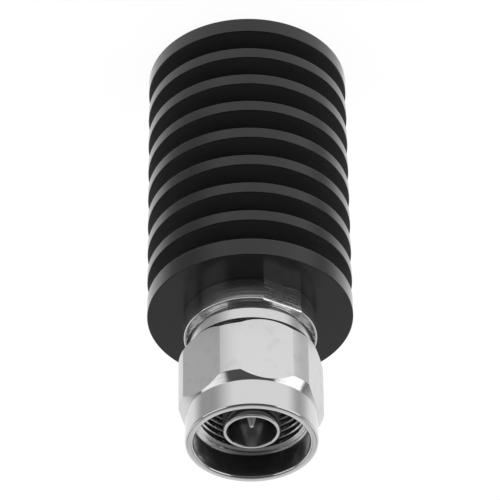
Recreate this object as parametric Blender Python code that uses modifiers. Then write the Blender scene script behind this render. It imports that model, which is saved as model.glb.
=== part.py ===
"""RF dummy load: a coaxial plug with a coupling nut on a round finned heat sink.

It stands on the rear end of the heat sink, with the plug up along +Z and the origin at that end's centre.
Lengths are in metres. Every turned piece is modelled from its own rear face up, and placed by its location.
"""

from math import cos, pi, radians, sin

import bpy

MM = 0.001

# Heat sink
SINK_DIAMETER = 29.5 * MM
REAR_FIN = 2.55 * MM
MIDDLE_FIN = 1.8 * MM
FRONT_FIN = 2.9 * MM
FIN_GAP = 3.3 * MM
MIDDLE_FINS = 7
FIN_EDGE_BREAK = 0.15 * MM
CORE_WALL = 2.05 * MM
LOAD_BORE_DEPTH = 32.6 * MM

# Connector body
LOAD_DIAMETER = 10.0 * MM
SPIGOT_LENGTH = 8.2 * MM
SPIGOT_WALL = 1.25 * MM
FLANGE_LENGTH = 3.45 * MM
FLANGE_RISE = 1.4 * MM
FLANGE_FRONT_BREAK = 0.2 * MM
FLANGE_DISH = 0.3 * MM
FLANGE_REAR_BREAK = 0.1 * MM
FLAT_DEPTH = 0.5 * MM
FLAT_ANGLE = radians(30.85)
NECK_WALL = 3.0 * MM
SHOULDER_LAND = 0.95 * MM
CONTACT_STOP_DEPTH = 3.35 * MM
NOSE_WALL = 1.0 * MM
NOSE_LENGTH = 1.2 * MM

# Coupling nut
NUT_STANDOFF = 1.2 * MM
COLLAR_WALL = 0.87 * MM
COLLAR_LENGTH = 1.8 * MM
COLLAR_BREAK = 0.12 * MM
HEX_WALL = 0.825 * MM
HEX_CORNER_RISE = 0.725 * MM
HEX_CORNER_ANGLE = radians(-16.4)
HEX_LENGTH = 8.1 * MM
HEX_REAR_CONE = 1.65 * MM
HEX_FRONT_CONE = 1.25 * MM
FRONT_RING_LENGTH = 4.3 * MM
MOUTH_DIAMETER = 16.4 * MM
MOUTH_DEPTH = 3.95 * MM
MOUTH_WALL = 1.12 * MM
MOUTH_BREAK = 0.22 * MM
THREAD_BORE_DIAMETER = 14.84 * MM
THREAD_LENGTH = 5.9 * MM
THREAD_LEAD_IN = 0.75 * MM

# Retaining ring
RING_HEIGHT_IN_NUT = 2.1 * MM
RING_THICKNESS = 0.9 * MM
RING_WIDTH = 0.85 * MM
RING_BITE = 0.35 * MM
RING_SPRING_ROOM = 0.35 * MM
RING_SPLIT = 1.2 * MM
RING_SPLIT_ANGLE = radians(-15.7)
NUT_FLOAT = 0.4 * MM

# Gasket
GASKET_THICKNESS = 1.6 * MM
GASKET_WIDTH = 1.97 * MM
GASKET_EDGE = 0.25 * MM

# Outer contact, centre pin and bead
CONTACT_BORE_DIAMETER = 7.0 * MM
CONTACT_WALL = 0.55 * MM
CONTACT_LENGTH = 16.5 * MM
CONTACT_FLANGE_LENGTH = 2.45 * MM
CONTACT_EDGE_BREAK = 0.12 * MM
BEAD_LENGTH = 2.35 * MM
PIN_SHANK_DIAMETER = 3.04 * MM
PIN_DIAMETER = 1.6 * MM
PIN_TIP_DIAMETER = 0.38 * MM
PIN_TIP_SETBACK = 0.95 * MM
PIN_CONE_LENGTH = 3.05 * MM
PIN_STEP_SETBACK = 5.2 * MM
PIN_SHOULDER_RISE = 0.68 * MM
PIN_SHOULDER_LENGTH = 1.5 * MM

# Load inside the heat sink
ROD_DIAMETER = 3.0 * MM
ROD_EDGE_BREAK = 0.1 * MM
CAP_WALL = 0.3 * MM
CAP_END = 1.0 * MM
FRONT_CAP_DEPTH = 3.3 * MM
REAR_CAP_DEPTH = 3.1 * MM
FRONT_STUB_DIAMETER = 1.6 * MM
FRONT_STUB_LENGTH = 1.8 * MM
REAR_STUB_DIAMETER = 2.4 * MM
REAR_STUB_LENGTH = 2.4 * MM
TAPER_MOUTH_DIAMETER = 7.8 * MM
GROUND_PLUG_LENGTH = 2.5 * MM
SPRING_THICKNESS = 0.5 * MM
SPRING_HEIGHT = 1.6 * MM
SPRING_BORE_DIAMETER = 4.0 * MM

# Clearances
SEAT_GAP = 0.3 * MM
FIT = 0.1 * MM
RUNNING = 0.15 * MM

# Facets round each piece
SINK_STEPS = 60
BODY_STEPS = 60
NUT_STEPS = 72
LOAD_STEPS = 36
PIN_STEPS = 24

MERGE = 0.001 * MM
SHARP_EDGE = radians(25)

# Radii that pieces share, from the load outwards
LOAD_RADIUS = LOAD_DIAMETER / 2
LOAD_BORE = LOAD_RADIUS + FIT
SPIGOT_RADIUS = LOAD_BORE + SPIGOT_WALL
NECK_RADIUS = LOAD_BORE + NECK_WALL
FLANGE_RADIUS = NECK_RADIUS + FLANGE_RISE
NUT_BORE = NECK_RADIUS + RUNNING
RING_RADIUS = NUT_BORE + RING_BITE
RING_BORE = RING_RADIUS - RING_WIDTH
CONTACT_BORE = CONTACT_BORE_DIAMETER / 2
CONTACT_RADIUS = CONTACT_BORE + CONTACT_WALL
NOSE_RADIUS = CONTACT_RADIUS + FIT + NOSE_WALL
PIN_SHANK = PIN_SHANK_DIAMETER / 2
CAP_BORE = ROD_DIAMETER / 2 + FIT
CAP_RADIUS = CAP_BORE + CAP_WALL

# Heights above the rear end of the heat sink, from its front face up
SINK_LENGTH = REAR_FIN + MIDDLE_FINS * (FIN_GAP + MIDDLE_FIN) + FIN_GAP + FRONT_FIN
FLANGE_BASE = SINK_LENGTH + SEAT_GAP
BODY_BASE = FLANGE_BASE - SPIGOT_LENGTH
FLANGE_TOP = FLANGE_BASE + FLANGE_LENGTH
NUT_BASE = FLANGE_TOP + NUT_STANDOFF
RING_BASE = NUT_BASE + RING_HEIGHT_IN_NUT
RING_GROOVE_BASE = RING_BASE - FIT
RING_GROOVE_TOP = RING_BASE + RING_THICKNESS + NUT_FLOAT + FIT
SHOULDER = RING_GROOVE_TOP + SHOULDER_LAND
GASKET_BASE = SHOULDER + FIT
CONTACT_STOP = SHOULDER - CONTACT_STOP_DEPTH
CONTACT_BASE = CONTACT_STOP - FIT - CONTACT_FLANGE_LENGTH
CONTACT_TIP = CONTACT_BASE + CONTACT_LENGTH

# Heights of the load's stack, down from the outer contact
BEAD_BASE = CONTACT_BASE - FIT - BEAD_LENGTH
STACK_TOP = BEAD_BASE - FIT
PIN_BASE = STACK_TOP - PIN_SHOULDER_LENGTH
PIN_SOCKET_DEPTH = FRONT_STUB_LENGTH - FIT + SEAT_GAP
FRONT_CAP_END = PIN_BASE - FIT - CAP_END
ROD_TOP = FRONT_CAP_END - FIT

# Heights of the load's stack, up from the bottom of the heat sink's bore
LOAD_BORE_BASE = SINK_LENGTH - LOAD_BORE_DEPTH
SPRING_BASE = LOAD_BORE_BASE + FIT
GROUND_PLUG_BASE = SPRING_BASE + SPRING_HEIGHT + FIT
SLEEVE_BASE = GROUND_PLUG_BASE + GROUND_PLUG_LENGTH + FIT
REAR_CAP_END = SLEEVE_BASE + RUNNING + CAP_END
ROD_BASE = REAR_CAP_END + FIT


def collection(name):
    """Make a collection in the scene."""
    made = bpy.data.collections.new(name)
    bpy.context.scene.collection.children.link(made)
    return made


def finish(name, colour, metallic, roughness):
    """Make a Principled material."""
    material = bpy.data.materials.new(name)
    material.use_nodes = True
    shader = material.node_tree.nodes["Principled BSDF"]
    shader.inputs["Base Color"].default_value = (*colour, 1.0)
    shader.inputs["Metallic"].default_value = metallic
    shader.inputs["Roughness"].default_value = roughness
    return material


def revolve(name, profile, steps):
    """Turn a profile of (radius, height) points about Z: down its outer side, and closed if off the axis."""
    outline = bpy.data.meshes.new(name)
    edges = [(point, point + 1) for point in range(len(profile) - 1)]
    if profile[0][0] > 0:
        edges.append((len(profile) - 1, 0))
    outline.from_pydata([(radius, 0, height) for radius, height in profile], edges, [])
    lathe = bpy.data.objects.new(name, outline)
    bpy.context.scene.collection.objects.link(lathe)
    turn = lathe.modifiers.new("turn", "SCREW")
    turn.steps = turn.render_steps = steps
    turn.use_merge_vertices = True
    turn.merge_threshold = MERGE
    turned = bpy.data.meshes.new_from_object(lathe.evaluated_get(bpy.context.evaluated_depsgraph_get()))
    bpy.data.objects.remove(lathe)
    bpy.data.meshes.remove(outline)
    turned.name = name
    return turned


def place(name, mesh, material, base):
    """Put a smooth-shaded piece in the assembly, with its rear face at a height."""
    mesh.shade_smooth()
    mesh.set_sharp_from_angle(angle=SHARP_EDGE)
    mesh.materials.append(material)
    piece = bpy.data.objects.new(name, mesh)
    piece.location.z = base
    piece.parent = ASSEMBLY
    PIECES.objects.link(piece)
    return piece


def cut(piece, cutter, name):
    """Cut a piece with a cutter that stays in its own collection."""
    cutter.name = name
    cutter.hide_render = True
    cutter.display_type = "WIRE"
    cutter.parent = ASSEMBLY
    for home in cutter.users_collection:
        home.objects.unlink(cutter)
    CUTTERS.objects.link(cutter)
    boolean = piece.modifiers.new(name, "BOOLEAN")
    boolean.operation = "DIFFERENCE"
    boolean.solver = "EXACT"
    boolean.object = cutter


def facing(angle):
    """The direction at an angle from -Y towards -X, seen from the plug's end."""
    return -sin(angle), -cos(angle)


def box(size, centre, angle):
    """A box whose Y side faces an angle."""
    bpy.ops.mesh.primitive_cube_add(size=1)
    block = bpy.context.object
    block.scale = size
    block.location = centre
    block.rotation_euler.z = pi - angle
    return block


def fin(top, length, edge_break):
    """One fin's outline, from its front face down."""
    rim = SINK_DIAMETER / 2
    if not edge_break:
        return [(rim, top), (rim, top - length)]
    return [
        (rim - edge_break, top),
        (rim, top - edge_break),
        (rim, top - length + edge_break),
        (rim - edge_break, top - length),
    ]


def heatsink():
    """Turned from one bar: fins outside, a blind bore for the load and a wider seat for the spigot."""
    seat = SPIGOT_RADIUS + FIT
    seat_base = BODY_BASE - FIT
    core = seat + CORE_WALL
    profile = [(0, LOAD_BORE_BASE), (LOAD_BORE, LOAD_BORE_BASE), (LOAD_BORE, seat_base), (seat, seat_base)]
    profile.append((seat, SINK_LENGTH))
    top = SINK_LENGTH
    lengths = [FRONT_FIN] + MIDDLE_FINS * [MIDDLE_FIN] + [REAR_FIN]
    for number, length in enumerate(lengths):
        if number:
            profile += [(core, top + FIN_GAP), (core, top)]
        end_fin = number in (0, len(lengths) - 1)
        profile += fin(top, length, FIN_EDGE_BREAK if end_fin else 0)
        top -= length + FIN_GAP
    profile.append((0, 0))
    place("heatsink", revolve("heatsink", profile, SINK_STEPS), BLACK_ANODISED, 0)


def connector_body():
    """Turned from one bar: spigot, dished flange with two wrench flats, neck with a groove, and nose."""
    flange_base = FLANGE_BASE - BODY_BASE
    flange_top = FLANGE_TOP - BODY_BASE
    groove_base = RING_GROOVE_BASE - BODY_BASE
    groove_top = RING_GROOVE_TOP - BODY_BASE
    shoulder = SHOULDER - BODY_BASE
    stop = CONTACT_STOP - BODY_BASE
    groove = RING_BORE - RING_SPRING_ROOM
    contact_hole = CONTACT_RADIUS + FIT
    profile = [
        (LOAD_BORE, 0),
        (LOAD_BORE, stop),
        (contact_hole, stop),
        (contact_hole, shoulder + NOSE_LENGTH),
        (NOSE_RADIUS, shoulder + NOSE_LENGTH),
        (NOSE_RADIUS, shoulder),
        (NECK_RADIUS, shoulder),
        (NECK_RADIUS, groove_top),
        (groove, groove_top),
        (groove, groove_base),
        (NECK_RADIUS, groove_base),
        (NECK_RADIUS, flange_top - FLANGE_DISH),
        (FLANGE_RADIUS - FLANGE_FRONT_BREAK, flange_top),
        (FLANGE_RADIUS, flange_top - FLANGE_FRONT_BREAK),
        (FLANGE_RADIUS, flange_base + FLANGE_REAR_BREAK),
        (FLANGE_RADIUS - FLANGE_REAR_BREAK, flange_base),
        (SPIGOT_RADIUS, flange_base),
        (SPIGOT_RADIUS, 0),
    ]
    body = place("connector_body", revolve("connector_body", profile, BODY_STEPS), NICKEL_PLATE, BODY_BASE)
    for side, angle in (("front", FLAT_ANGLE), ("back", FLAT_ANGLE + pi)):
        x, y = facing(angle)
        reach = FLANGE_RADIUS - FLAT_DEPTH + FLANGE_RADIUS / 2
        size = (2 * FLANGE_RADIUS, FLANGE_RADIUS, 2 * FLANGE_LENGTH)
        centre = (x * reach, y * reach, (FLANGE_BASE + FLANGE_TOP) / 2)
        cut(body, box(size, centre, angle), side + "_wrench_flat")


def coupling_nut():
    """Turned from hexagon bar: collar, hexagon with turned-down corners, front ring and threaded mouth."""
    length = COLLAR_LENGTH + HEX_REAR_CONE + HEX_LENGTH + HEX_FRONT_CONE + FRONT_RING_LENGTH
    groove = RING_RADIUS + FIT
    groove_base = RING_BASE - FIT - NUT_BASE
    groove_top = RING_BASE + RING_THICKNESS + FIT - NUT_BASE
    mouth = MOUTH_DIAMETER / 2
    ring = mouth + MOUTH_WALL
    thread = THREAD_BORE_DIAMETER / 2
    thread_top = length - MOUTH_DEPTH
    across_flats = groove + HEX_WALL
    corner = across_flats + HEX_CORNER_RISE
    collar = NUT_BORE + COLLAR_WALL
    hex_base = COLLAR_LENGTH + HEX_REAR_CONE
    profile = [
        (NUT_BORE, 0),
        (NUT_BORE, groove_base),
        (groove, groove_base),
        (groove, groove_top),
        (NUT_BORE, groove_top),
        (NUT_BORE, thread_top - THREAD_LENGTH),
        (thread, thread_top - THREAD_LENGTH),
        (thread, thread_top - THREAD_LEAD_IN),
        (mouth, thread_top),
        (mouth, length - MOUTH_BREAK),
        (mouth + MOUTH_BREAK, length),
        (ring - MOUTH_BREAK, length),
        (ring, length - MOUTH_BREAK),
        (ring, length - FRONT_RING_LENGTH),
        (corner, hex_base + HEX_LENGTH),
        (corner, hex_base),
        (collar, COLLAR_LENGTH),
        (collar, COLLAR_BREAK),
        (collar - COLLAR_BREAK, 0),
    ]
    nut = place("coupling_nut", revolve("coupling_nut", profile, NUT_STEPS), NICKEL_PLATE, NUT_BASE)
    flats = [
        (across_flats / cos(pi / 6), COLLAR_LENGTH),
        (across_flats / cos(pi / 6), length - FRONT_RING_LENGTH),
        (2 * corner, length - FRONT_RING_LENGTH),
        (2 * corner, COLLAR_LENGTH),
    ]
    broach = bpy.data.objects.new("hexagon", revolve("hexagon", flats, 6))
    bpy.context.scene.collection.objects.link(broach)
    broach.location.z = NUT_BASE
    broach.rotation_euler.z = -pi / 2 - HEX_CORNER_ANGLE
    cut(nut, broach, "hexagon")


def retaining_ring():
    """A flat spring ring, split so that it can be closed into its groove."""
    profile = [(RING_BORE, 0), (RING_BORE, RING_THICKNESS), (RING_RADIUS, RING_THICKNESS), (RING_RADIUS, 0)]
    ring = place("retaining_ring", revolve("retaining_ring", profile, BODY_STEPS), SPRING_BRONZE, RING_BASE)
    x, y = facing(RING_SPLIT_ANGLE)
    size = (RING_SPLIT, RING_RADIUS, 2 * RING_THICKNESS)
    centre = (x * RING_RADIUS, y * RING_RADIUS, RING_BASE + RING_THICKNESS / 2)
    cut(ring, box(size, centre, RING_SPLIT_ANGLE), "ring_split")


def gasket():
    """A rubber ring round the body's nose, inside the nut."""
    bore = NOSE_RADIUS + FIT
    outside = bore + GASKET_WIDTH
    profile = [
        (bore, 0),
        (bore, GASKET_THICKNESS - GASKET_EDGE),
        (bore + GASKET_EDGE, GASKET_THICKNESS),
        (outside - GASKET_EDGE, GASKET_THICKNESS),
        (outside, GASKET_THICKNESS - GASKET_EDGE),
        (outside, 0),
    ]
    place("gasket", revolve("gasket", profile, LOAD_STEPS), SILICONE_RUBBER, GASKET_BASE)


def outer_contact():
    """A thin sleeve with a flange that stops inside the body."""
    tip = CONTACT_LENGTH
    profile = [
        (CONTACT_BORE, 0),
        (CONTACT_BORE, tip - CONTACT_EDGE_BREAK),
        (CONTACT_BORE + CONTACT_EDGE_BREAK, tip),
        (CONTACT_RADIUS - CONTACT_EDGE_BREAK, tip),
        (CONTACT_RADIUS, tip - CONTACT_EDGE_BREAK),
        (CONTACT_RADIUS, CONTACT_FLANGE_LENGTH),
        (LOAD_RADIUS, CONTACT_FLANGE_LENGTH),
        (LOAD_RADIUS, 0),
    ]
    place("outer_contact", revolve("outer_contact", profile, LOAD_STEPS), NICKEL_PLATE, CONTACT_BASE)


def center_pin():
    """The contact pin: pointed tip, shank through the bead, shoulder under it and a socket for the cap."""
    tip = CONTACT_TIP - PIN_TIP_SETBACK - PIN_BASE
    step = CONTACT_TIP - PIN_STEP_SETBACK - PIN_BASE
    socket = FRONT_STUB_DIAMETER / 2 + FIT
    shoulder = PIN_SHANK + PIN_SHOULDER_RISE
    profile = [
        (0, tip),
        (PIN_TIP_DIAMETER / 2, tip),
        (PIN_DIAMETER / 2, tip - PIN_CONE_LENGTH),
        (PIN_DIAMETER / 2, step),
        (PIN_SHANK, step),
        (PIN_SHANK, PIN_SHOULDER_LENGTH),
        (shoulder, PIN_SHOULDER_LENGTH),
        (shoulder, 0),
        (socket, 0),
        (socket, PIN_SOCKET_DEPTH),
        (0, PIN_SOCKET_DEPTH),
    ]
    place("center_pin", revolve("center_pin", profile, PIN_STEPS), NICKEL_PLATE, PIN_BASE)


def insulator_bead():
    """The bead that carries the pin, clamped behind the outer contact's flange."""
    hole = PIN_SHANK + FIT
    profile = [(hole, 0), (hole, BEAD_LENGTH), (LOAD_RADIUS, BEAD_LENGTH), (LOAD_RADIUS, 0)]
    place("insulator_bead", revolve("insulator_bead", profile, LOAD_STEPS), WHITE_PTFE, BEAD_BASE)


def matching_sleeve():
    """The load's outer conductor: its bore tapers from the bead down to the rear cap."""
    length = STACK_TOP - SLEEVE_BASE
    rear_bore = CAP_RADIUS + RUNNING
    land = REAR_CAP_END + REAR_CAP_DEPTH - SLEEVE_BASE
    profile = [
        (rear_bore, 0),
        (rear_bore, land),
        (TAPER_MOUTH_DIAMETER / 2, length),
        (LOAD_RADIUS, length),
        (LOAD_RADIUS, 0),
    ]
    place("matching_sleeve", revolve("matching_sleeve", profile, LOAD_STEPS), BARE_BRASS, SLEEVE_BASE)


def resistor():
    """The ceramic rod that turns the signal into heat, with a plated cap on each end."""
    rod = ROD_DIAMETER / 2
    length = ROD_TOP - ROD_BASE
    profile = [
        (0, length),
        (rod - ROD_EDGE_BREAK, length),
        (rod, length - ROD_EDGE_BREAK),
        (rod, ROD_EDGE_BREAK),
        (rod - ROD_EDGE_BREAK, 0),
        (0, 0),
    ]
    place("resistor_rod", revolve("resistor_rod", profile, PIN_STEPS), RESISTIVE_CERAMIC, ROD_BASE)
    end = FRONT_CAP_DEPTH + CAP_END
    profile = [
        (0, end + FRONT_STUB_LENGTH),
        (FRONT_STUB_DIAMETER / 2, end + FRONT_STUB_LENGTH),
        (FRONT_STUB_DIAMETER / 2, end),
        (CAP_RADIUS, end),
        (CAP_RADIUS, 0),
        (CAP_BORE, 0),
        (CAP_BORE, FRONT_CAP_DEPTH),
        (0, FRONT_CAP_DEPTH),
    ]
    base = FRONT_CAP_END - FRONT_CAP_DEPTH
    place("resistor_front_cap", revolve("resistor_front_cap", profile, PIN_STEPS), SILVER_PLATE, base)
    floor = REAR_STUB_LENGTH + CAP_END
    profile = [
        (0, floor),
        (CAP_BORE, floor),
        (CAP_BORE, floor + REAR_CAP_DEPTH),
        (CAP_RADIUS, floor + REAR_CAP_DEPTH),
        (CAP_RADIUS, REAR_STUB_LENGTH),
        (REAR_STUB_DIAMETER / 2, REAR_STUB_LENGTH),
        (REAR_STUB_DIAMETER / 2, 0),
        (0, 0),
    ]
    base = REAR_CAP_END - floor
    place("resistor_rear_cap", revolve("resistor_rear_cap", profile, PIN_STEPS), SILVER_PLATE, base)


def ground_plug():
    """The disc that joins the rear cap's stub to the matching sleeve."""
    hole = REAR_STUB_DIAMETER / 2 + FIT
    profile = [(hole, 0), (hole, GROUND_PLUG_LENGTH), (LOAD_RADIUS, GROUND_PLUG_LENGTH), (LOAD_RADIUS, 0)]
    place("ground_plug", revolve("ground_plug", profile, LOAD_STEPS), BARE_BRASS, GROUND_PLUG_BASE)


def disc_spring():
    """A conical spring washer that presses the stack together from the bottom of the bore."""
    bore = SPRING_BORE_DIAMETER / 2
    profile = [
        (bore, SPRING_HEIGHT - SPRING_THICKNESS),
        (bore, SPRING_HEIGHT),
        (LOAD_RADIUS, SPRING_THICKNESS),
        (LOAD_RADIUS, 0),
    ]
    place("disc_spring", revolve("disc_spring", profile, LOAD_STEPS), SPRING_STEEL, SPRING_BASE)


for old in list(bpy.data.objects):
    bpy.data.objects.remove(old)

PIECES = collection("rf_dummy_load")
CUTTERS = collection("cutters")
ASSEMBLY = bpy.data.objects.new("rf_dummy_load_base", None)
PIECES.objects.link(ASSEMBLY)

BLACK_ANODISED = finish("black anodised aluminium", (0.012, 0.012, 0.013), 0.0, 0.35)
NICKEL_PLATE = finish("nickel plated brass", (0.62, 0.62, 0.61), 1.0, 0.22)
SPRING_BRONZE = finish("phosphor bronze", (0.55, 0.36, 0.22), 1.0, 0.3)
SILICONE_RUBBER = finish("silicone rubber", (0.08, 0.08, 0.08), 0.0, 0.6)
WHITE_PTFE = finish("white ptfe", (0.85, 0.85, 0.83), 0.0, 0.5)
BARE_BRASS = finish("bare brass", (0.72, 0.55, 0.28), 1.0, 0.3)
RESISTIVE_CERAMIC = finish("resistive film on ceramic", (0.05, 0.05, 0.055), 0.0, 0.45)
SILVER_PLATE = finish("silver plated brass", (0.8, 0.79, 0.76), 1.0, 0.2)
SPRING_STEEL = finish("spring steel", (0.45, 0.45, 0.46), 1.0, 0.35)

heatsink()
connector_body()
retaining_ring()
coupling_nut()
gasket()
outer_contact()
center_pin()
insulator_bead()
matching_sleeve()
resistor()
ground_plug()
disc_spring()
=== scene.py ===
"""The looks of a coaxial RF dummy load: a nickel plated screw-on plug on a black finned heat sink."""

from math import atan2, cos, hypot, pi, radians, sin, tau

import bmesh
import bpy
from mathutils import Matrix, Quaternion, Vector


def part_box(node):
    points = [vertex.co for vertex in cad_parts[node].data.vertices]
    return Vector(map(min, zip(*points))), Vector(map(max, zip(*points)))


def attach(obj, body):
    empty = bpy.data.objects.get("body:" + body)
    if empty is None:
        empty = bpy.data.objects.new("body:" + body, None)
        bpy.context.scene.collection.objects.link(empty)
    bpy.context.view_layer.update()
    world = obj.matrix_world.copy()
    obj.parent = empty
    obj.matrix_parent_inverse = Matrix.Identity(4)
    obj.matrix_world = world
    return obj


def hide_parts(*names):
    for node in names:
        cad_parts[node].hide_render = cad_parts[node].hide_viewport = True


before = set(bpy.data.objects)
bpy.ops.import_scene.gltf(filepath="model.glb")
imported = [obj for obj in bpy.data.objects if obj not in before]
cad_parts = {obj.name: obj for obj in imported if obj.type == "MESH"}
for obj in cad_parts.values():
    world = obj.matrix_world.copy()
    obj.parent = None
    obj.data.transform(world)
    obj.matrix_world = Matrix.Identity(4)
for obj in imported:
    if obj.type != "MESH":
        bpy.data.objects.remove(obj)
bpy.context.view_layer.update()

MM = 0.001

# Camera. The photograph looks down into the plug from a little over half a metre away through a long lens,
# with the heat sink beyond it and the picture turned by half a turn.
camera_elevation = radians(38.6)
camera_roll = radians(179.24)
camera_distance = 530 * MM
camera_target = Vector((-0.1, 0, 31.91)) * MM
camera_back = Vector((0, -cos(camera_elevation), sin(camera_elevation)))

lens = bpy.data.cameras.new("photograph_lens")
lens.sensor_width = 36
lens.lens = 263.05
camera = bpy.data.objects.new("photograph_camera", lens)
camera.location = camera_target + camera_distance * camera_back
camera.rotation_mode = "QUATERNION"
camera.rotation_quaternion = camera_back.to_track_quat("Z", "Y") @ Quaternion((0, 0, 1), camera_roll)
bpy.context.scene.collection.objects.link(camera)
bpy.context.scene.camera = camera
bpy.context.scene.view_settings.view_transform = "Standard"


# Heat sink. One length of aluminium bar, turned to nine fins round a core with their sharp edges just broken,
# and then anodised black all over. The plug's body is screwed into the bore in its front end.
sink_low, sink_high = (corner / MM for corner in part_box("heatsink"))
sink_rim = sink_high.x
sink_core = 8.5
front_fin = 2.9
middle_fin = 1.8
rear_fin = 2.55
fin_gap = 3.3
middle_fins = 7
fin_edge = 0.1
end_fin_edge = 0.15
fin_root = 0.2
spigot_seat = 6.45
spigot_depth = 8.0
load_bore = 5.1
load_bore_depth = 32.6
sink_around = 240

# Every turned piece keeps the edges sharp that bend further than this. Its rounded corners have four steps,
# and a point this far beyond them on either side, which keeps the faces there flat to the eye. What lies
# within the tolerance of a radius or a height lies on it.
sharp_edge = radians(30)
corner_steps = 4
corner_hold = 0.03
tolerance = 0.01
weld_distance = 0.0001


def turned(profile, around):
    """Spin a profile of (radius, height[, corner rounding]) in mm round Z, in so many steps."""
    corners = [Vector((radius, 0, height)) * MM for radius, height, *rounding in profile]
    outline = []
    for number, (radius, height, *rounding) in enumerate(profile):
        corner = corners[number]
        if not rounding:
            outline.append((corner, 0))
            continue
        to_last = (corners[number - 1] - corner).normalized()
        to_next = (corners[(number + 1) % len(corners)] - corner).normalized()
        reach = (rounding[0] + corner_hold) * MM
        outline += [(corner + to_last * reach, 0), (corner, rounding[0]), (corner + to_next * reach, 0)]
    mesh = bmesh.new()
    points = [mesh.verts.new(place) for place, rounding in outline]
    for start, end in zip(points, points[1:]):
        mesh.edges.new((start, end))
    if profile[0][0] > 0:
        mesh.edges.new((points[-1], points[0]))
    roundings = [rounding for place, rounding in outline]
    for rounding in sorted(set(roundings) - {0}):
        alike = [point for point, own in zip(points, roundings) if own == rounding]
        bmesh.ops.bevel(
            mesh, geom=alike, offset=rounding * MM, segments=corner_steps, profile=0.5, affect="VERTICES",
            material=-1,
        )
    bmesh.ops.spin(
        mesh, geom=mesh.verts[:] + mesh.edges[:], cent=(0, 0, 0), axis=(0, 0, 1), angle=tau, steps=around,
        use_merge=True,
    )
    bmesh.ops.remove_doubles(mesh, verts=mesh.verts, dist=weld_distance * MM)
    bmesh.ops.recalc_face_normals(mesh, faces=mesh.faces)
    return mesh


def slot_of(place, finishes):
    """The number of the material slot that holds a place's finish."""
    return list(finishes).index(place)


def refinish(mesh, place, finishes, chosen):
    """Give a place's finish to the faces whose radius and height in mm are chosen."""
    slot = slot_of(place, finishes)
    for face in mesh.faces:
        middle = face.calc_center_median() / MM
        if chosen(middle.xy.length, middle.z):
            face.material_index = slot


def finished(name, mesh, materials, node, body):
    """Make a mesh the piece that stands for a CAD node, sharp at each bend and change of finish."""
    for edge in mesh.edges:
        one_finish = len({face.material_index for face in edge.link_faces}) == 1
        edge.smooth = one_finish and edge.calc_face_angle(pi) < sharp_edge
    for face in mesh.faces:
        face.smooth = True
    data = bpy.data.meshes.new(name)
    mesh.to_mesh(data)
    mesh.free()
    for material in materials:
        data.materials.append(material)
    piece = bpy.data.objects.new(name, data)
    bpy.context.scene.collection.objects.link(piece)
    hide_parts(node)
    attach(piece, body)


def tone(hex_colour):
    """The linear colour of an sRGB hex value."""
    channels = [int(hex_colour[start : start + 2], 16) / 255 for start in (1, 3, 5)]
    return (*(c / 12.92 if c < 0.04045 else ((c + 0.055) / 1.055) ** 2.4 for c in channels), 1.0)


def add(tree, kind, inputs=(), **settings):
    """Add a node with its settings, and set or link its inputs."""
    made = tree.nodes.new(kind)
    for name, value in settings.items():
        setattr(made, name, value)
    for socket, value in dict(inputs).items():
        if isinstance(value, bpy.types.NodeSocket):
            tree.links.new(value, made.inputs[socket])
        else:
            made.inputs[socket].default_value = value
    return made


def new_material(name, constants):
    """A Principled material with its constant values on the shader's own sockets."""
    material = bpy.data.materials.new(name)
    material.use_nodes = True
    shader = material.node_tree.nodes["Principled BSDF"]
    for socket, value in constants.items():
        shader.inputs[socket].default_value = value
    return material, material.node_tree, shader


# The real marks of turning are 0.05 to 0.15 mm apart. They are drawn at 0.1 to 0.5 mm, as coarse as they
# need to show, and at 0.7 and 0.8 mm where the tool chattered.
def lathe_marks(tree, pitch, drift=0.05):
    """Rings a pitch in mm apart, as a turning tool leaves them, a little uneven on the way round."""
    place = add(tree, "ShaderNodeTexCoord").outputs["Object"]
    flat = add(tree, "ShaderNodeVectorMath", {0: place, 1: (1, 1, 0)}, operation="MULTIPLY").outputs[0]
    radius = add(tree, "ShaderNodeVectorMath", {0: flat}, operation="LENGTH").outputs["Value"]
    axes = add(tree, "ShaderNodeSeparateXYZ", {0: place})
    slow = add(tree, "ShaderNodeMath", {0: axes.outputs["Y"], 1: drift}, operation="MULTIPLY").outputs[0]
    ring = add(tree, "ShaderNodeCombineXYZ", {"X": radius, "Y": slow, "Z": axes.outputs["Z"]}).outputs[0]
    noise = {"Vector": ring, "Scale": 1 / (pitch * MM), "Detail": 3.0, "Roughness": 0.6}
    return add(tree, "ShaderNodeTexNoise", noise).outputs["Fac"]


def cut_into(tree, shader, pattern, depth):
    """Let a pattern of a real depth in mm bend the surface."""
    bump = add(tree, "ShaderNodeBump", {"Height": pattern, "Distance": depth * MM})
    tree.links.new(bump.outputs["Normal"], shader.inputs["Normal"])


def vary_gloss(tree, shader, pattern, dull, duller):
    """Let a pattern vary the roughness."""
    gloss = add(tree, "ShaderNodeMapRange", {"Value": pattern, "To Min": dull, "To Max": duller})
    tree.links.new(gloss.outputs["Result"], shader.inputs["Roughness"])


def vary_colour(tree, shader, pattern, dark, light):
    """Let a pattern vary the colour between two hex values."""
    colours = add(tree, "ShaderNodeMix", {0: pattern, 6: tone(dark), 7: tone(light)}, data_type="RGBA")
    tree.links.new(colours.outputs[2], shader.inputs["Base Color"])


def black_anodised_aluminium(name="black anodised turned aluminium", dye_and_painted_light="#141414", ior=1.4, sealed=0.6):
    """Dyed oxide on turned aluminium: near black, with a clear satin skin that mirrors at low angles."""
    skin = {"Coat Weight": sealed, "Coat Roughness": 0.15, "Coat IOR": 1.35}
    material, tree, shader = new_material(name, {"Base Color": tone(dye_and_painted_light), "IOR": ior, **skin})
    marks = lathe_marks(tree, pitch=0.25)
    cut_into(tree, shader, marks, depth=0.003)
    vary_gloss(tree, shader, marks, dull=0.14, duller=0.24)
    return material


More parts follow.
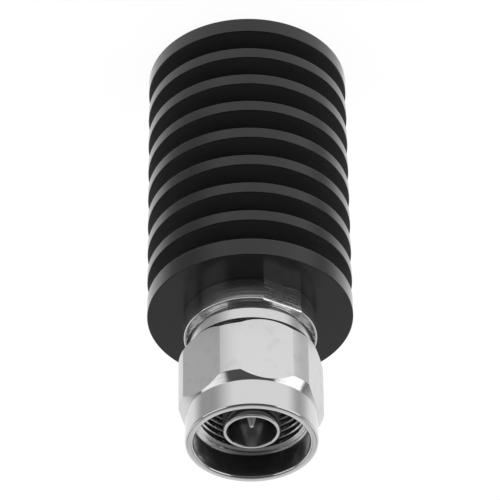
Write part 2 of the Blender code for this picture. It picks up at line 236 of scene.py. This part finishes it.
def black_anodised_slots_painted_lighter():
    """The same oxide in the slots: duller where the grooving tool left it rough, and painted a lighter grey
    that stands in for light in the shaded slots, a little uneven along the rings.
    """
    material, tree, shader = new_material("black anodised grooved aluminium painted lighter", {"IOR": 1.42})
    marks = lathe_marks(tree, pitch=0.3)
    cut_into(tree, shader, marks, depth=0.01)
    # Painted light: both greys are lighter than the oxide's black and stand in for light in the shaded slots.
    vary_colour(tree, shader, marks, dark="#383838", light="#444444")
    vary_gloss(tree, shader, marks, dull=0.35, duller=0.5)
    return material


sink_bore = sink_high.z - load_bore_depth
seat_base = sink_high.z - spigot_depth
sink_profile = [
    (0, sink_bore),
    (load_bore, sink_bore),
    (load_bore, seat_base),
    (spigot_seat, seat_base),
    (spigot_seat, sink_high.z),
]
fin_top = sink_high.z
fins = [(front_fin, end_fin_edge), *middle_fins * [(middle_fin, fin_edge)], (rear_fin, end_fin_edge)]
for number, (length, edge) in enumerate(fins):
    if number:
        sink_profile += [(sink_core, fin_top + fin_gap, fin_root), (sink_core, fin_top, fin_root)]
    sink_profile += [(sink_rim, fin_top, edge), (sink_rim, fin_top - length, edge)]
    fin_top -= length + fin_gap
sink_profile.append((0, sink_low.z))
sink_mesh = turned(sink_profile, sink_around)

# The front face was faced in a pass of its own, and mirrors little. Its dark grey is painted light: it is
# lighter than the rims' black so that the face and its reflection in the flange come out brighter.
sink_finishes = {
    "rims": black_anodised_aluminium(),
    "slots": black_anodised_slots_painted_lighter(),
    # Painted light: the front face's grey is lighter than the oxide's black.
    "front face": black_anodised_aluminium(
        "black anodised faced aluminium painted lighter", dye_and_painted_light="#2A2A2A", ior=1.31, sealed=0.0
    ),
}
inside_rims = sink_rim - end_fin_edge
under_front_edge = sink_high.z - fin_edge
refinish(
    sink_mesh, "slots", sink_finishes,
    lambda radius, height: spigot_seat < radius < inside_rims and sink_low.z < height < under_front_edge,
)
refinish(sink_mesh, "front face", sink_finishes, lambda radius, height: height > sink_high.z - tolerance)
finished("finned_heat_sink", sink_mesh, sink_finishes.values(), "heatsink", "load")


# Plug body. Brass bar turned to a spigot, a flange, a grooved neck and a nose, and nickel plated bright.
# Two flats are milled on the flange for a wrench, and their cutter marks show through the plating.
body_low, body_high = (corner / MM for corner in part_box("connector_body"))
spigot = 6.35
flange_base = sink_high.z + 0.01
flange_top = body_low.z + 11.65
flange_dish = 0.3
flange = 9.5
flange_edge = 0.24
flange_base_edge = 0.1
flat_reach = 9.0
flat_edge = 0.1
flat_edge_drop = 0.1
flat_edge_slope = radians(33)
flat_angle = radians(30.85)
neck = 8.1
neck_root = 0.15
neck_groove = 7.4
neck_edge = 0.08
nose = 5.15
nose_length = 1.2
nose_edge = 0.08
contact_hole = 4.15
shoulder = body_high.z - nose_length
groove_top = shoulder - 0.95
groove_base = groove_top - 1.5
contact_stop = shoulder - 3.35
body_around = 240
nickel = "#D1D1D1"
turning = {"Anisotropic": 0.8, "Anisotropic Rotation": 0.25}


def turned_nickel(
    name="nickel plate on turned brass", pitch=0.2, depth=0.001, dull=0.08, duller=0.12, drift=0.05,
    colour=nickel,
):
    """Bright nickel on turned brass: a grey mirror, drawn out across the tool's fine rings."""
    material, tree, shader = new_material(name, {"Base Color": tone(colour), "Metallic": 1.0, **turning})
    marks = lathe_marks(tree, pitch, drift)
    cut_into(tree, shader, marks, depth)
    vary_gloss(tree, shader, marks, dull, duller)
    around = add(tree, "ShaderNodeTangent", direction_type="RADIAL", axis="Z")
    tree.links.new(around.outputs["Tangent"], shader.inputs["Tangent"])
    return material


def milled_nickel():
    """Nickel over a milled flat: uneven cutter marks along it that catch the light as fine bright lines."""
    mark_spacing = 0.28
    change_along = 0.06
    metal = {"Base Color": tone(nickel), "Metallic": 1.0}
    material, tree, shader = new_material("nickel plate on milled brass", metal)
    place = add(tree, "ShaderNodeTexCoord").outputs["Object"]
    along = (cos(flat_angle), -sin(flat_angle), 0)
    run = add(tree, "ShaderNodeVectorMath", {0: place, 1: along}, operation="DOT_PRODUCT").outputs["Value"]
    slow = add(tree, "ShaderNodeMath", {0: run, 1: change_along}, operation="MULTIPLY").outputs[0]
    height = add(tree, "ShaderNodeSeparateXYZ", {0: place}).outputs["Z"]
    across = add(tree, "ShaderNodeCombineXYZ", {"X": slow, "Z": height}).outputs[0]
    cuts = {"Vector": across, "Scale": 1 / (mark_spacing * MM), "Detail": 4.0, "Roughness": 0.6}
    marks = add(tree, "ShaderNodeTexNoise", cuts).outputs["Fac"]
    cut_into(tree, shader, marks, depth=0.045)
    vary_gloss(tree, shader, marks, dull=0.15, duller=0.35)
    return material


def slice_off(mesh, faces, point, normal, slot):
    """Cut off what some faces have beyond a plane, and close the cut with one face in a material slot."""
    near = {element for face in faces for element in (face, *face.edges, *face.verts)}
    cut = bmesh.ops.bisect_plane(
        mesh, geom=list(near), dist=weld_distance * MM, plane_co=point * MM, plane_no=normal,
        clear_outer=True,
    )
    rim = [element for element in cut["geom_cut"] if isinstance(element, bmesh.types.BMEdge)]
    for face in bmesh.ops.holes_fill(mesh, edges=rim)["faces"]:
        face.material_index = slot


def facing(angle, rise=0.0):
    """The direction at an angle from -Y towards -X, raised by another angle."""
    return Vector((-sin(angle) * cos(rise), -cos(angle) * cos(rise), sin(rise)))


body_profile = [
    (load_bore, body_low.z),
    (load_bore, contact_stop),
    (contact_hole, contact_stop),
    (contact_hole, body_high.z),
    (nose, body_high.z, nose_edge),
    (nose, shoulder),
    (neck, shoulder, neck_edge),
    (neck, groove_top),
    (neck_groove, groove_top),
    (neck_groove, groove_base),
    (neck, groove_base),
    (neck, flange_top - flange_dish, neck_root),
    (flange, flange_top, flange_edge),
    (flange, flange_base, flange_base_edge),
    (spigot, flange_base),
    (spigot, body_low.z),
]
body_mesh = turned(body_profile, body_around)

# The neck and the dish were turned in a rough pass, whose uneven rings break up what they mirror. The
# flange's rim was cut by a form tool, which leaves it duller.
bright_nickel = turned_nickel()
cut_nickel = turned_nickel("nickel plate on form cut brass", pitch=0.45, depth=0.03, dull=0.16, duller=0.24)
body_finishes = {
    "bore and nose": bright_nickel,
    "flats": milled_nickel(),
    "neck and dish": turned_nickel(
        "nickel plate on rough turned brass", pitch=0.7, depth=0.09, dull=0.12, duller=0.22, drift=1.0
    ),
    "flange rim": cut_nickel,
}
inside_flange = flange - flange_edge
mid_flange = (flange_base + flange_top) / 2
refinish(
    body_mesh, "neck and dish", body_finishes,
    lambda radius, height: neck - tolerance < radius < inside_flange and height > mid_flange,
)
flats = slot_of("flats", body_finishes)
for side in (flat_angle, flat_angle + pi):
    slice_off(body_mesh, body_mesh.faces, facing(side) * flat_reach, facing(side), flats)
    edge = facing(side) * (flat_reach - flat_edge) + Vector((0, 0, flange_top - flat_edge_drop))
    top = (flange_top + tolerance) * MM
    flange_faces = [face for face in body_mesh.faces if max(vert.co.z for vert in face.verts) < top]
    slice_off(body_mesh, flange_faces, edge, facing(side, flat_edge_slope), flats)
refinish(
    body_mesh, "flange rim", body_finishes,
    lambda radius, height: abs(radius - flange) < tolerance and height < flange_top,
)
finished("plug_body", body_mesh, body_finishes.values(), "connector_body", "load")


# Retaining ring. A flat phosphor bronze ring, split so that it can be closed into the neck's groove before
# the nut is pushed over it. It holds the nut on and lets it turn.
ring_low, ring_high = (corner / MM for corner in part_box("retaining_ring"))
ring_outside = 8.6
ring_bore = 7.75
ring_split = 1.2
ring_split_angle = radians(-15.7)
ring_edge = 0.05
ring_around = 180


def rolled_bronze():
    """Rolled spring strip: a reddish metal with a dull, even sheen."""
    metal = {"Base Color": tone("#C49A78"), "Metallic": 1.0}
    material, tree, shader = new_material("rolled phosphor bronze strip", metal)
    vary_gloss(tree, shader, lathe_marks(tree, pitch=0.1), dull=0.28, duller=0.4)
    return material


ring_profile = [
    (ring_bore, ring_low.z, ring_edge),
    (ring_bore, ring_high.z, ring_edge),
    (ring_outside, ring_high.z, ring_edge),
    (ring_outside, ring_low.z, ring_edge),
]
ring_mesh = turned(ring_profile, ring_around)
to_split = facing(ring_split_angle)
across_split = Vector((to_split.y, -to_split.x, 0))
removed = []
for face in ring_mesh.faces:
    middle = face.calc_center_median()
    if middle.dot(to_split) > 0 and abs(middle.dot(across_split)) < ring_split / 2 * MM:
        removed.append(face)
bmesh.ops.delete(ring_mesh, geom=removed, context="FACES")
bmesh.ops.holes_fill(ring_mesh, edges=ring_mesh.edges)
finished("split_retaining_ring", ring_mesh, [rolled_bronze()], "retaining_ring", "ring")


# Coupling nut. Hexagon brass bar turned down at both ends so that cones cut its corners, bored, threaded
# 5/8-24 inside and nickel plated. It turns freely on the neck and pulls the plug onto its jack.
nut_low, nut_high = (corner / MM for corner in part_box("coupling_nut"))
nut_bore = 8.25
nut_groove = 8.7
nut_groove_room = 0.1
collar = 9.12
collar_edge = 0.12
collar_top = nut_low.z + 1.8
hex_base = collar_top + 1.65
hex_top = hex_base + 8.1
hex_corner = 10.25
hex_corner_angle = radians(-16.4)
hex_flat_reach = 9.525
front_ring = 9.32
front_ring_base = hex_top + 1.25
front_edge = 0.35
mouth = 8.2
mouth_edge = 0.3
mouth_floor = nut_high.z - 3.95
lead_in = 0.5
lead_in_blend = 0.04
lead_in_rim = 8.14
lead_in_base = mouth_floor - lead_in
thread_rows = 224
thread_crest_flat = 0.29
thread_root_flat = 0.14
thread_eased = 0.25
thread_base = mouth_floor - 5.9
thread_crest = 7.42
thread_root = 7.94
thread_pitch = 25.4 / 24
tap_reach = 0.1
nut_around = 240


def drawn_nickel():
    """Nickel on drawn bar: bright, softened by faint orange peel and clouded here and there by stains."""
    peel_size = 0.9
    cloud_size = 2.2
    material, tree, shader = new_material("nickel plate on drawn bar", {"Metallic": 1.0})
    place = add(tree, "ShaderNodeTexCoord").outputs["Object"]
    peel = {"Vector": place, "Scale": 1 / (peel_size * MM), "Detail": 4.0, "Roughness": 0.55}
    marks = add(tree, "ShaderNodeTexNoise", peel).outputs["Fac"]
    cut_into(tree, shader, marks, depth=0.004)
    vary_gloss(tree, shader, marks, dull=0.3, duller=0.4)
    clouds = {"Vector": place, "Scale": 1 / (cloud_size * MM), "Detail": 2.0, "Roughness": 0.5}
    cloud = add(tree, "ShaderNodeTexNoise", clouds).outputs["Fac"]
    clean = add(tree, "ShaderNodeMapRange", {"Value": cloud, "From Min": 0.2, "From Max": 0.46}).outputs[0]
    vary_colour(tree, shader, clean, dark="#CDCDCD", light="#DBDBDB")
    return material


def cut_thread(mesh, drilled):
    """Cut a right-hand thread into the wall of a drilled radius in mm, with a cone led into its top."""
    for vert in mesh.verts:
        height = vert.co.z / MM
        radius = vert.co.xy.length / MM
        if abs(radius - drilled) > tolerance:
            continue
        turn = (height - thread_base) / thread_pitch + 0.5 - atan2(vert.co.y, vert.co.x) / tau
        from_root = abs(2 * (turn % 1) - 1)
        flank = 1 - thread_crest_flat - thread_root_flat
        rise = min(max((1 - thread_crest_flat - from_root) / flank, 0), 1)
        eased = rise * rise * (3 - 2 * rise)
        thread = (thread_root - thread_crest) * (rise + thread_eased * (eased - rise))
        cone = (height - lead_in_base) / lead_in * (lead_in_rim - thread_crest)
        deeper = (thread + cone + hypot(thread - cone, lead_in_blend)) / 2
        vert.co.xy *= (thread_crest + deeper) / radius


thread_row = (mouth_floor - thread_base) / thread_rows
nut_profile = [
    *[(thread_root, mouth_floor - number * thread_row) for number in range(thread_rows + 1)],
    (nut_bore, thread_base),
    (nut_bore, ring_high.z + nut_groove_room),
    (nut_groove, ring_high.z + nut_groove_room),
    (nut_groove, ring_low.z - nut_groove_room),
    (nut_bore, ring_low.z - nut_groove_room),
    (nut_bore, nut_low.z),
    (collar, nut_low.z, collar_edge),
    (collar, collar_top),
    (hex_corner, hex_base),
    (hex_corner, hex_top),
    (front_ring, front_ring_base),
    (front_ring, nut_high.z, front_edge),
    (mouth, nut_high.z, mouth_edge),
    (mouth, mouth_floor),
]
nut_mesh = turned(nut_profile, nut_around)
cut_thread(nut_mesh, thread_root)

# The hexagon's flats and corners are the bar as it was drawn. Its corners have a slot of their own, because
# an edge between two slots stays sharp. Each cutting tool left the other faces a finish of its own.
faced_nickel = turned_nickel("nickel plate on faced brass", pitch=0.15, depth=0.002, dull=0.25, duller=0.3)
drawn = drawn_nickel()
nut_finishes = {
    "rings and bore": bright_nickel,
    "flats": drawn,
    "thread": turned_nickel("nickel plate on tapped brass", pitch=0.5, depth=0.002, dull=0.14, duller=0.2),
    "front face": faced_nickel,
    "corners": drawn,
    "cones": cut_nickel,
    "mouth": turned_nickel("nickel plate on bored brass", pitch=0.3, depth=0.002, dull=0.15, duller=0.22),
    "lead-in": turned_nickel(
        "nickel plate on countersunk brass", pitch=0.8, depth=0.06, dull=0.2, duller=0.3, drift=1.0
    ),
}
hex_flats = slot_of("flats", nut_finishes)
for side in range(6):
    to_flat = facing(hex_corner_angle + pi / 6 + side * pi / 3)
    slice_off(nut_mesh, nut_mesh.faces, to_flat * hex_flat_reach, to_flat, hex_flats)
nut_places = {
    "thread": lambda radius, height: radius < thread_root + tap_reach and height < mouth_floor,
    "front face": lambda radius, height: height > nut_high.z - tolerance,
    "corners": lambda radius, height: abs(radius - hex_corner) < tolerance and hex_base < height < hex_top,
    "mouth": lambda radius, height: abs(radius - mouth) < tolerance and height > mouth_floor,
    "lead-in": lambda radius, height: thread_crest < radius < mouth and lead_in_base < height < mouth_floor,
}
for place, chosen in nut_places.items():
    refinish(nut_mesh, place, nut_finishes, chosen)
for ring, base, top in ((collar, collar_top, hex_base), (front_ring, hex_top, front_ring_base)):
    refinish(nut_mesh, "cones", nut_finishes, lambda radius, height: radius > ring and base < height < top)
finished("coupling_nut_body", nut_mesh, nut_finishes.values(), "coupling_nut", "nut")


# Gasket. A grey silicone rubber ring, moulded square with soft front edges, that lies round the nose and
# seals against the jack's rim.
gasket_low, gasket_high = (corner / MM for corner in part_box("gasket"))
gasket_bore = 5.25
gasket_outside = 7.22
gasket_edge = 0.25
gasket_around = 160


def silicone_rubber():
    """Moulded silicone: a dark grey matt skin with a fine grain from the mould."""
    grain_size = 0.25
    rubber = {"Base Color": tone("#4A4A4B"), "IOR": 1.41, "Roughness": 0.55}
    material, tree, shader = new_material("moulded silicone rubber", rubber)
    place = add(tree, "ShaderNodeTexCoord").outputs["Object"]
    grain = {"Vector": place, "Scale": 1 / (grain_size * MM), "Detail": 3.0, "Roughness": 0.5}
    cut_into(tree, shader, add(tree, "ShaderNodeTexNoise", grain).outputs["Fac"], depth=0.008)
    return material


gasket_profile = [
    (gasket_bore, gasket_low.z),
    (gasket_bore, gasket_high.z, gasket_edge),
    (gasket_outside, gasket_high.z, gasket_edge),
    (gasket_outside, gasket_low.z),
]
gasket_mesh = turned(gasket_profile, gasket_around)
finished("sealing_gasket", gasket_mesh, [silicone_rubber()], "gasket", "load")


# Outer contact. A thin turned sleeve with a polished rim that meets the jack's outer conductor, held behind
# its flange inside the body.
contact_low, contact_high = (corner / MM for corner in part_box("outer_contact"))
contact_bore = 3.5
contact_bore_edge = 0.12
contact_outside = 4.05
contact_rim_edge = 0.24
contact_flange = 5.0
contact_flange_top = contact_low.z + 2.45
contact_around = 160
contact_profile = [
    (contact_bore, contact_low.z),
    (contact_bore, contact_high.z, contact_bore_edge),
    (contact_outside, contact_high.z, contact_rim_edge),
    (contact_outside, contact_flange_top),
    (contact_flange, contact_flange_top),
    (contact_flange, contact_low.z),
]
contact_mesh = turned(contact_profile, contact_around)
contact_finishes = {
    "outside": bright_nickel,
    "bore": turned_nickel("nickel plate in a drilled bore", pitch=0.3, depth=0.002, dull=0.18, duller=0.26),
    "rim": faced_nickel,
}
refinish(contact_mesh, "bore", contact_finishes, lambda radius, height: radius < contact_bore + tolerance)
refinish(contact_mesh, "rim", contact_finishes, lambda radius, height: height > contact_high.z - tolerance)
finished("contact_sleeve", contact_mesh, contact_finishes.values(), "outer_contact", "load")


# Centre pin. Turned brass with a sharp cone in front of a thin pin, on a thick shank that sits in the bead,
# with a shoulder and a socket behind it for the load resistor's cap. Its nickel is paler and satin.
pin_low, pin_high = (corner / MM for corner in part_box("center_pin"))
pin = 0.8
pin_tip = 0.24
pin_tip_edge = 0.06
pin_cone_base = pin_high.z - 2.3
pin_cone_edge = 0.2
pin_base = pin_high.z - 4.25
pin_base_edge = 0.1
pin_shank = 1.52
pin_shoulder = 2.2
pin_shoulder_top = pin_low.z + 1.5
pin_socket = 0.9
pin_socket_floor = pin_low.z + 2.0
pin_around = 96
pin_profile = [
    (0, pin_high.z),
    (pin_tip, pin_high.z, pin_tip_edge),
    (pin, pin_cone_base, pin_cone_edge),
    (pin, pin_base, pin_base_edge),
    (pin_shank, pin_base, pin_base_edge),
    (pin_shank, pin_shoulder_top),
    (pin_shoulder, pin_shoulder_top),
    (pin_shoulder, pin_low.z),
    (pin_socket, pin_low.z),
    (pin_socket, pin_socket_floor),
    (0, pin_socket_floor),
]
pin_mesh = turned(pin_profile, pin_around)
satin_nickel = turned_nickel(
    "satin nickel plate on turned brass", pitch=0.15, depth=0.01, dull=0.45, duller=0.55, colour="#F0F0F0"
)
finished("pointed_center_pin", pin_mesh, [satin_nickel], "center_pin", "load")


# Insulator bead. A plain disc of turned PTFE, clamped behind the outer contact, that holds the pin central.
# It shows only at the bottom of the contact's bore.
bead_low, bead_high = (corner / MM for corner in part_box("insulator_bead"))
bead_hole = pin_shank + 0.1
bead_edge = 0.1
bead_around = 120


def turned_ptfe():
    """Turned PTFE: waxy white that lets a little light in, with dull rings from the tool."""
    waxy = {"IOR": 1.35, "Subsurface Weight": 0.15, "Subsurface Scale": 0.4 * MM}
    material, tree, shader = new_material("turned ptfe", {"Base Color": tone("#EFEFEC"), **waxy})
    marks = lathe_marks(tree, pitch=0.25)
    cut_into(tree, shader, marks, depth=0.003)
    vary_gloss(tree, shader, marks, dull=0.4, duller=0.55)
    return material


bead_profile = [
    (bead_hole, bead_low.z),
    (bead_hole, bead_high.z, bead_edge),
    (contact_flange, bead_high.z, bead_edge),
    (contact_flange, bead_low.z, bead_edge),
]
bead_mesh = turned(bead_profile, bead_around)
finished("ptfe_bead", bead_mesh, [turned_ptfe()], "insulator_bead", "load")


# Load inside the heat sink. A ceramic rod with a baked resistive film stands between two silvered caps in a
# tapered brass sleeve, on a brass plug that a spring washer pushes up. All of it is sealed in.
def turned_brass():
    """Bare turned brass: yellow, bright, with plain tool rings."""
    material, tree, shader = new_material("turned brass", {"Base Color": tone("#D8BD8A"), "Metallic": 1.0})
    marks = lathe_marks(tree, pitch=0.2)
    cut_into(tree, shader, marks, depth=0.001)
    vary_gloss(tree, shader, marks, dull=0.18, duller=0.3)
    return material


def silvered_brass():
    """Silver over turned brass: the palest metal here, with a soft bloom."""
    metal = {"Base Color": tone("#E8E6E0"), "Metallic": 1.0}
    material, tree, shader = new_material("silver plate on turned brass", metal)
    vary_gloss(tree, shader, lathe_marks(tree, pitch=0.2), dull=0.15, duller=0.28)
    return material


def resistive_film():
    """Carbon film baked on ceramic: dark grey and semi-matt, with a fine sandy grain."""
    grain_size = 0.15
    material, tree, shader = new_material("baked resistive film", {"IOR": 1.6, "Roughness": 0.45})
    place = add(tree, "ShaderNodeTexCoord").outputs["Object"]
    grain = {"Vector": place, "Scale": 1 / (grain_size * MM), "Detail": 3.0}
    sand = add(tree, "ShaderNodeTexNoise", grain).outputs["Fac"]
    vary_colour(tree, shader, sand, dark="#343437", light="#48484B")
    return material


def spring_steel():
    """Hardened and tempered spring strip: a grey metal, blued a little by the heat."""
    metal = {"Base Color": tone("#B2B3B6"), "Metallic": 1.0}
    material, tree, shader = new_material("tempered spring steel", metal)
    vary_gloss(tree, shader, lathe_marks(tree, pitch=0.15), dull=0.3, duller=0.42)
    return material


brass = turned_brass()
silver = silvered_brass()
sealed_in = {
    "resistor_rod": resistive_film(),
    "resistor_front_cap": silver,
    "resistor_rear_cap": silver,
    "matching_sleeve": brass,
    "ground_plug": brass,
    "disc_spring": spring_steel(),
}
for node, material in sealed_in.items():
    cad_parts[node].active_material = material


# Studio. A white tent, open above on the camera's side, with a dark room round the camera, glowing cloth at
# the sides and behind, a strip light straight behind and a low soft box on either side of the camera. Left
# is the picture's left, +X. Azimuths start from the camera's side, and lengths here are in metres.
softbox_azimuth = radians(63)
softbox_elevation = radians(23.5)
softbox_distance = 0.45
softbox_width = 0.34
softbox_height = 0.18
softbox_side = {"right": -1, "left": 1}
softbox_radiance = {"right": 1.8, "left": 1.35}
white = tone("#FFFFFF")


def soft_edge(tree, value, start, end, before=0.0, after=1.0):
    """The light level across a soft edge: one level before a value reaches it, another after it."""
    step = {"Value": value, "From Min": start, "From Max": end, "To Min": before, "To Max": after}
    return add(tree, "ShaderNodeMapRange", step, interpolation_type="SMOOTHSTEP").outputs["Result"]


def panel(tree, azimuth, fades_in, fades_out, level):
    """The level of a lit panel of cloth, or of a gap, that fades in and out over azimuths in degrees."""
    begun = soft_edge(tree, azimuth, *map(radians, fades_in), after=level)
    ended = soft_edge(tree, azimuth, *map(radians, fades_out), before=1.0, after=0.0)
    return add(tree, "ShaderNodeMath", {0: begun, 1: ended}, operation="MULTIPLY").outputs[0]


world = bpy.data.worlds.new("white_tent")
world.use_nodes = True
bpy.context.scene.world = world
tent = world.node_tree
direction = add(tent, "ShaderNodeSeparateXYZ", {0: add(tent, "ShaderNodeTexCoord").outputs["Generated"]})
height = direction.outputs["Z"]
towards = add(tent, "ShaderNodeMath", {0: direction.outputs["Y"], 1: -1.0}, operation="MULTIPLY").outputs[0]
left = add(tent, "ShaderNodeMath", {0: direction.outputs["X"], 1: towards}, operation="ARCTAN2").outputs[0]
right = add(tent, "ShaderNodeMath", {0: left, 1: -1.0}, operation="MULTIPLY").outputs[0]
either = add(tent, "ShaderNodeMath", {0: left, 1: right}, operation="MAXIMUM").outputs[0]

# The cloth below, full white apart from its gaps.
left_gap = panel(tent, left, fades_in=(25, 72), fades_out=(92, 125), level=0.57)
right_gap = panel(tent, right, fades_in=(62, 90), fades_out=(92, 128), level=0.5)
gaps = add(tent, "ShaderNodeMath", {0: left_gap, 1: right_gap}, operation="ADD").outputs[0]
below = add(tent, "ShaderNodeMath", {0: 1.0, 1: gaps}, operation="SUBTRACT").outputs[0]

# The room above, with the cloth behind, the strip light and the cloth at the sides added to it.
room = soft_edge(tent, either, radians(42), radians(52), before=0.09, after=0.14)
cloth_behind = soft_edge(tent, either, radians(90), radians(140))
cloth_glow = soft_edge(tent, height, 0.25, 0.6, before=0.85, after=0.25)
strip_light = soft_edge(tent, either, radians(168), radians(174), after=0.45)
strip_end = soft_edge(tent, height, 0.8, 0.95, before=1.0, after=0.0)
side_cloth = panel(tent, either, fades_in=(95, 110), fades_out=(130, 150), level=0.6)
side_base = soft_edge(tent, height, 0.35, 0.45)
side_top = soft_edge(tent, height, 0.65, 0.8, before=1.0, after=0.0)
side_height = add(tent, "ShaderNodeMath", {0: side_base, 1: side_top}, operation="MULTIPLY").outputs[0]
above = room
for lit, part in ((cloth_behind, cloth_glow), (strip_light, strip_end), (side_cloth, side_height)):
    both = add(tent, "ShaderNodeMath", {0: lit, 1: part}, operation="MULTIPLY").outputs[0]
    above = add(tent, "ShaderNodeMath", {0: above, 1: both}, operation="ADD").outputs[0]

# The cloth below ends at the horizon in front, and higher up behind. The camera itself sees plain white.
cloth_top = soft_edge(tent, either, radians(72), radians(98), after=0.24)
over_top = add(tent, "ShaderNodeMath", {0: height, 1: cloth_top}, operation="SUBTRACT").outputs[0]
upward = soft_edge(tent, over_top, -0.03, 0.12)
level = add(tent, "ShaderNodeMix", {"Factor": upward, 2: below, 3: above}, data_type="FLOAT").outputs[0]
seen = add(tent, "ShaderNodeLightPath").outputs["Is Camera Ray"]
shown = add(tent, "ShaderNodeMix", {"Factor": seen, 2: level, 3: 1.0}, data_type="FLOAT").outputs[0]
tent.links.new(shown, tent.nodes["Background"].inputs["Strength"])
tent.nodes["Background"].inputs["Color"].default_value = white

for name, side in softbox_side.items():
    box = bpy.data.lights.new(f"{name}_softbox", "AREA")
    box.shape = "RECTANGLE"
    box.size = softbox_width
    box.size_y = softbox_height
    box.energy = softbox_radiance[name] * pi * softbox_width * softbox_height
    lamp = bpy.data.objects.new(box.name, box)
    out = Vector((side * sin(softbox_azimuth), -cos(softbox_azimuth), 0)) * cos(softbox_elevation)
    out.z = sin(softbox_elevation)
    lamp.location = out * softbox_distance + Vector((0, 0, nut_high.z * MM))
    lamp.rotation_euler = out.to_track_quat("Z", "Y").to_euler()
    bpy.context.scene.collection.objects.link(lamp)


# Floor. A pale sheet that shows as white and keeps a faint shadow of the object. In the metal it mirrors as a
# painted pool of light, paper that glows white round the object, and farther out it lets the white tent below
# it through.
floor_reach = 0.8
floor_drop = 0.02 * MM
painted_pool_reach = 10 * MM
painted_pool_end = 45 * MM
floor_mesh = bmesh.new()
bmesh.ops.create_grid(floor_mesh, x_segments=1, y_segments=1, size=floor_reach)
bmesh.ops.translate(floor_mesh, verts=floor_mesh.verts, vec=(0, 0, -floor_drop))
floor_data = bpy.data.meshes.new("floor")
floor_mesh.to_mesh(floor_data)
floor_mesh.free()
floor = bpy.data.objects.new("floor", floor_data)
bpy.context.scene.collection.objects.link(floor)
paper = bpy.data.materials.new("white background paper")
paper.use_nodes = True
sheet = paper.node_tree
sheet.nodes.remove(sheet.nodes["Principled BSDF"])
plain = add(sheet, "ShaderNodeBsdfDiffuse", {"Color": tone("#E1E1E1")}).outputs[0]
shadowed = add(sheet, "ShaderNodeBsdfDiffuse", {"Color": tone("#7C7C7C")}).outputs[0]
glow = add(sheet, "ShaderNodeEmission", {"Color": white, "Strength": 0.93}).outputs[0]
shown_paper = add(sheet, "ShaderNodeAddShader", {0: shadowed, 1: glow}).outputs[0]
# A painted pool of light: the paper glows white round the object in reflections, whatever the lamps do.
spot = add(sheet, "ShaderNodeTexCoord").outputs["Object"]
away = add(sheet, "ShaderNodeVectorMath", {0: spot}, operation="LENGTH").outputs["Value"]
in_painted_pool = soft_edge(sheet, away, painted_pool_reach, painted_pool_end, before=1.0, after=0.0)
clear = add(sheet, "ShaderNodeBsdfTransparent").outputs[0]
painted_pool = add(sheet, "ShaderNodeEmission", {"Color": white, "Strength": 1.0}).outputs[0]
mirrored = add(sheet, "ShaderNodeMixShader", {0: in_painted_pool, 1: clear, 2: painted_pool}).outputs[0]
ray = add(sheet, "ShaderNodeLightPath").outputs
unseen = add(sheet, "ShaderNodeMixShader", {0: ray["Is Glossy Ray"], 1: plain, 2: mirrored}).outputs[0]
surface = add(sheet, "ShaderNodeMixShader", {0: ray["Is Camera Ray"], 1: unseen, 2: shown_paper}).outputs[0]
sheet.links.new(surface, sheet.nodes["Material Output"].inputs["Surface"])
floor_data.materials.append(paper)
